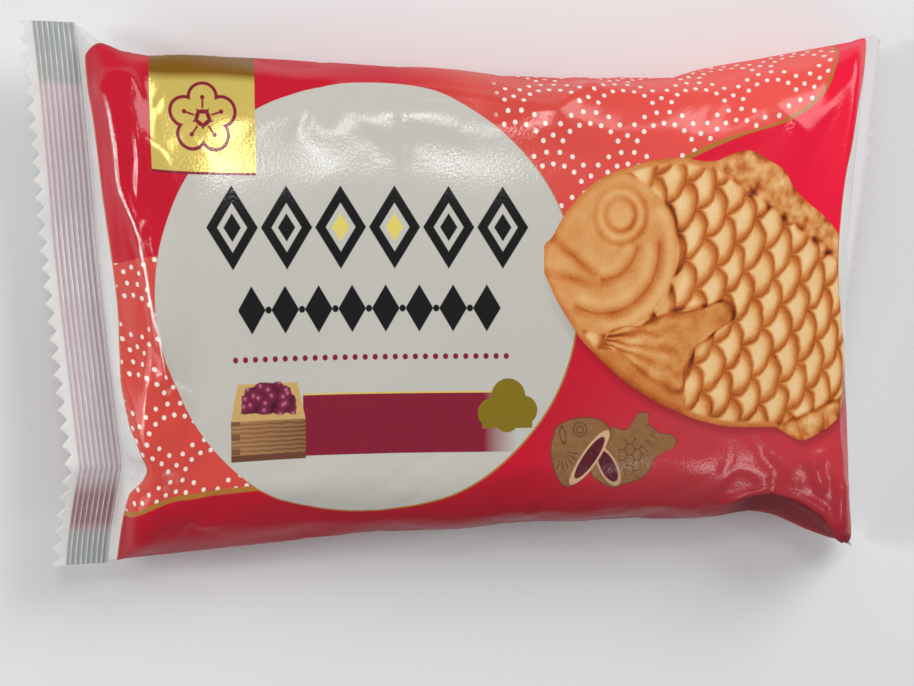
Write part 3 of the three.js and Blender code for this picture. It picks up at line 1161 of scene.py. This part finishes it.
def right_print(place, grain):
    """The print on the front's right: its colour, and how metallic it is."""
    x, y = place
    field = coral_band(place)
    coral = paint(CORAL, (BRIGHT_CORAL, inside(30 - x, 50)))
    dots = wave_dots(place, RIGHT_WAVES_AT) * inside(1 - x, 2)
    # The field's distance runs along the pack, so its line is widened where it slants.
    slant = ((15, 1.2), (26, 3), (31, 4.6), (35, 2.4), (40, 1.2), (66, 1))
    field_line = inside(abs(field) - read(slant, y, 0, 6) * 0.34)
    ground = paint(
        red_ground(place),
        (coral, inside(field) * inside(-13 - x, 18)),
        (CREAM, inside(field) * dots),
        (LINE_GOLD, field_line * inside(38 - x, 2) * inside(y - 58)),
    )
    crust, edge = waffle(place, grain)
    shade = inside(edge - 0.9, 2.4) * inside(y + 4, 20)
    colour = paint(
        with_disc(place, ground),
        *small_fish(place, grain),
        (DEEP_RED, shade * 0.5),
        (crust, inside(edge, 0.15)),
    )
    return colour, 0.0


def back_print(place, grain):
    """The plain back, with one bare pale panel on each side of the fin."""
    panel = rectangle((place[0], abs(place[1])), (0, 81), (58, 11))
    return paint(red_ground(place), (ink(226, 222, 214), inside(panel, 0.15))), 0.0


def bare_film(grain):
    """Film without print, milky and a little uneven."""
    return paint(ink(240, 238, 234), (ink(222, 220, 218), mottle(grain, 0.12)))


def seal_film(place, grain):
    """A seal: grey ends, a mauve middle with painted shade under the fold, and paler rib crests
    with painted highlights on them near the middle.
    The right seal is paler."""
    x, y = place
    run = abs(x) - BODY_RUN / 2
    middle = inside(abs(y + 2.5) - 43.5, 1.5)
    # Painted shade: the mauve is darker under the fold.
    folded = inside(abs(y + 41.5) - 4.5, 4)
    mauve = paint(ink(203, 186, 190), (ink(166, 124, 127), folded))
    band = paint(ink(168, 173, 169), (mauve, middle))
    band = paint(ink(244, 237, 239), (band, inside(x) * 0.95 + 0.05))
    ribbed = inside(abs(run - RIB_RUN / 2) - RIB_RUN / 2, 0.3)
    crest_wave = maths("SINE", run * (2 * math.pi * RIBS / RIB_RUN))
    pale = inside(0.82 - crest_wave, 0.4) * ribbed
    # Painted highlights on the rib crests, in a band near the middle.
    glint = inside(abs(y - 7) - 8, 3) * mottle(grain, 0.7) * 1.3
    colour = paint(
        bare_film(grain),
        (band, ribbed),
        (ink(242, 240, 240), pale * (mottle(grain, 0.3) + 0.2)),
        (ink(255, 255, 255), pale * glint),
    )
    return colour, 0.0


def past_print(place):
    """How far a place is past the print's two uneven ends, onto bare film."""
    left = (
        (-64, -81.4), (-49.8, -80.6), (-36, -79), (-28.4, -75.6), (-22, -78.2),
        (-12, -79.2), (0, -79), (12.8, -79.4), (31.5, -80.5), (45.6, -81.3), (46.8, -80.2),
        (48, -78.6), (54, -74), (64, -72),
    )
    right = (
        (-64, 81.6), (-45, 81.4), (-30, 80.6), (-12, 78.8), (-2, 76.2), (5.7, 74.9),
        (12.8, 75.1), (19.8, 75.8), (26.9, 77.6), (34.3, 78.7), (43.8, 80.5), (64, 81.4),
    )
    x, y = place
    return larger(read(left, y, -90, -70) - x, x - read(right, y, 70, 90))


# The film's gloss: how deep its fine peel is, in metres, and how much duller its steep sides and
# the low facet are.
PEEL_DEPTH, PEEL_STRENGTH = 0.00005, 0.5
STEEP_DULL, FACET_DULL, UNEVEN_DULL = 0.36, 0.62, 0.1
SPECULAR = 0.42


def film_finish(name, drawn, roughness):
    """One part of the film: its print with bare film beyond the print's two ends, under gloss."""
    finish = Finish(name)
    flat = finish.node("UVMap", {"uv_map": "flat_film"}, {})
    x = (part_of(flat, 0) - 0.5) * FILM_RUN
    y = (part_of(flat, 1) - 0.5) * ROUND
    grain = joined(x, y)
    if drawn is seal_film:
        colour, metal = drawn((x, y), grain)
    else:
        colour, metal = drawn((to_print(x), y), grain)
        outside = past_print((x, y))
        edge_line = line(outside, 0.5) * 0.8
        colour = paint(colour, (ink(214, 120, 76), edge_line), (bare_film(grain), inside(-outside)))
    peel = {"Height": mottle(grain, 1.6, 3), "Distance": PEEL_DEPTH, "Strength": PEEL_STRENGTH}
    # The film is duller down its steep sides, where it is drawn tight and rubbed.
    steep = larger(inside(45 - abs(y), 6), inside(79 - x, 4)) * STEEP_DULL
    steep = larger(steep, low_facet((x, y)) * FACET_DULL)
    shader = {
        "Base Color": colour,
        "Roughness": (mottle(grain, 0.08, 1) - 0.5) * UNEVEN_DULL + steep + roughness,
        "Metallic": metal,
        "Normal": finish.node("Bump", {}, peel),
        "Specular IOR Level": SPECULAR,
    }
    finish.node("OutputMaterial", {}, {"Surface": finish.node("BsdfPrincipled", {}, shader)})
    return finish.material


film = make_film()
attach(film, "root")
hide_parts("pack")
for name, drawn, roughness in (
    ("left_print", left_print, 0.17),
    ("right_print", right_print, 0.17),
    ("back_print", back_print, 0.2),
    ("seal_film", seal_film, 0.3),
):
    film.data.materials.append(film_finish(name, drawn, roughness))

# Floor, lights and camera.
bpy.ops.mesh.primitive_plane_add(size=4)
floor = bpy.context.object
floor.name = "floor"
pale = bpy.data.materials.new("pale_floor")
pale.use_nodes = True
paper = pale.node_tree.nodes["Principled BSDF"].inputs
paper["Base Color"].default_value = (0.88, 0.88, 0.88, 1)
paper["Roughness"].default_value = 0.8
floor.data.materials.append(pale)

world = bpy.data.worlds.new("studio")
world.use_nodes = True
sky = world.node_tree.nodes["Background"].inputs
sky["Color"].default_value = (0.95, 0.97, 1, 1)
sky["Strength"].default_value = 0.3
bpy.context.scene.world = world


def add_lamp(name, place, aim, size, power):
    """A soft square lamp, in metres, turned towards a point."""
    light = bpy.data.lights.new(name, "AREA")
    light.size = size
    light.energy = power
    lamp = bpy.data.objects.new(name, light)
    lamp.location = place
    heading = Vector(aim) - Vector(place)
    lamp.rotation_euler = heading.to_track_quat("-Z", "Y").to_euler()
    bpy.context.scene.collection.objects.link(lamp)


add_lamp("softbox", (0.45, 0.50, 0.60), (0, 0, 0), 0.50, 3.7)
add_lamp("side_softbox", (-0.65, -0.05, 0.35), (0, 0, 0), 0.35, 1.1)
add_lamp("ceiling_lamp", (-0.030, 0.225, 0.62), (-0.034, 0.028, 0), 0.08, 0.36)
add_lamp("small_lamp", (-0.46, 0.04, 0.42), (-0.07, 0, 0), 0.09, 0.6)
add_lamp("far_lamp", (0.24, -0.33, 0.50), (0.06, -0.03, 0), 0.08, 0.16)

# The camera looks almost straight down, leaning a little to the right and towards the near side.
CAMERA_PLACE = Vector((-0.0466, 0.0090, 0.3696))
LEAN_RIGHT, LEAN_NEAR = math.radians(7), math.radians(3)
sight = Vector((math.sin(LEAN_RIGHT), -math.sin(LEAN_NEAR), 0))
sight.z = -math.sqrt(1 - sight.length_squared)
across = sight.cross(Vector((0, 1, 0))).normalized()
upward = across.cross(sight)
lens = bpy.data.cameras.new("camera")
lens.sensor_width = 36
lens.lens = 71.05
camera = bpy.data.objects.new("camera", lens)
turned = Matrix((across, upward, -sight)).transposed().to_4x4()
camera.matrix_world = Matrix.Translation(CAMERA_PLACE) @ turned
scene = bpy.context.scene
scene.collection.objects.link(camera)
scene.camera = camera
scene.view_settings.view_transform = "Standard"
bpy.context.view_layer.update()
